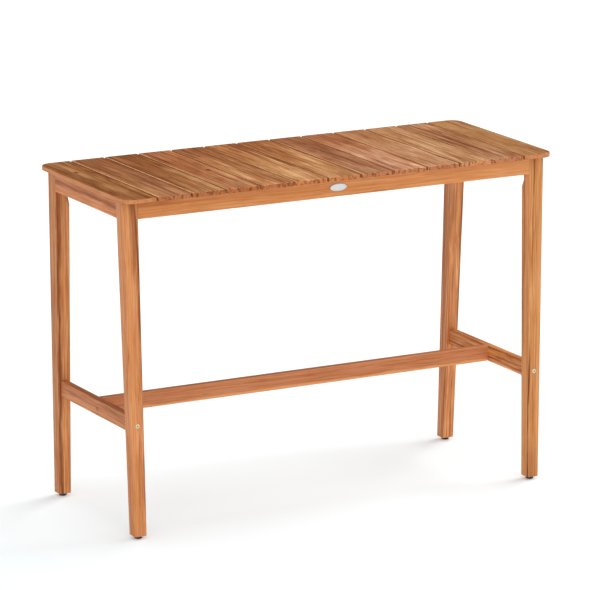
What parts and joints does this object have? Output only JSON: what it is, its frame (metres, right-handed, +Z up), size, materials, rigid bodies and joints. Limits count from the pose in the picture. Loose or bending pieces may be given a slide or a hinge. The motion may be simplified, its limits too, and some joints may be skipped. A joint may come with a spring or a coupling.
{
  "type": "counter height table",
  "caption": "Counter height table with a slatted wooden top, rounded corners, tapered splayed legs, an H-shaped stretcher and screw-in levelling feet.",
  "frame": {"origin": "on the floor under the middle of the top", "axes": "+X along the length, -Y towards the front with the oval plate, +Z up"},
  "size_m": [1.29, 0.522, 0.914],
  "materials": {
    "top_wood": "oiled hardwood boards, soft satin sheen",
    "frame_wood": "oiled hardwood, planed and sanded, satin",
    "dowel_wood": "fluted beech dowels, raw",
    "zinc_steel": "bright zinc plated",
    "yellow_zinc": "pale yellow zinc plated",
    "black_plastic": "moulded, matte",
    "plate_metal": "satin metal, bare"
  },
  "bodies": {
    "table": {"slat_01": "top_wood", "slat_02": "top_wood", "slat_03": "top_wood", "slat_04": "top_wood", "slat_05": "top_wood", "slat_06": "top_wood", "slat_07": "top_wood", "slat_08": "top_wood", "slat_09": "top_wood", "slat_10": "top_wood", "slat_11": "top_wood", "left_end_board": "top_wood", "left_end_apron": "frame_wood", "left_side_stretcher": "frame_wood", "right_end_board": "top_wood", "right_end_apron": "frame_wood", "right_side_stretcher": "frame_wood", "front_apron": "frame_wood", "front_batten": "frame_wood", "back_apron": "frame_wood", "back_batten": "frame_wood", "centre_batten": "frame_wood", "long_stretcher": "frame_wood", "front_left_leg": "frame_wood", "front_left_corner_brace": "frame_wood", "front_right_leg": "frame_wood", "front_right_corner_brace": "frame_wood", "back_left_leg": "frame_wood", "back_left_corner_brace": "frame_wood", "back_right_leg": "frame_wood", "back_right_corner_brace": "frame_wood", "board_screws": "yellow_zinc", "batten_screws": "yellow_zinc", "brace_screws": "yellow_zinc", "leg_bolts": "zinc_steel", "leg_bolt_washers": "zinc_steel", "leg_bolt_inserts": "zinc_steel", "stretcher_barrel_nuts": "zinc_steel", "foot_inserts": "zinc_steel", "stretcher_bolts": "yellow_zinc", "side_stretcher_dowels": "dowel_wood", "long_stretcher_dowels": "dowel_wood", "centre_batten_dowels": "dowel_wood", "oval_plate": "plate_metal"},
    "foot_front_left": {"front_left_foot_pad": "black_plastic", "front_left_foot_stud": "zinc_steel"},
    "foot_front_right": {"front_right_foot_pad": "black_plastic", "front_right_foot_stud": "zinc_steel"},
    "foot_back_left": {"back_left_foot_pad": "black_plastic", "back_left_foot_stud": "zinc_steel"},
    "foot_back_right": {"back_right_foot_pad": "black_plastic", "back_right_foot_stud": "zinc_steel"}
  },
  "joints": [
    {"name": "front_left_foot_screw", "type": "slide", "parent": "table", "child": "foot_front_left", "axis": [0, 0, -1], "range_m": [0, 0.01]},
    {"name": "front_right_foot_screw", "type": "slide", "parent": "table", "child": "foot_front_right", "axis": [0, 0, -1], "range_m": [0, 0.01]},
    {"name": "back_left_foot_screw", "type": "slide", "parent": "table", "child": "foot_back_left", "axis": [0, 0, -1], "range_m": [0, 0.01]},
    {"name": "back_right_foot_screw", "type": "slide", "parent": "table", "child": "foot_back_right", "axis": [0, 0, -1], "range_m": [0, 0.01]}
  ]
}
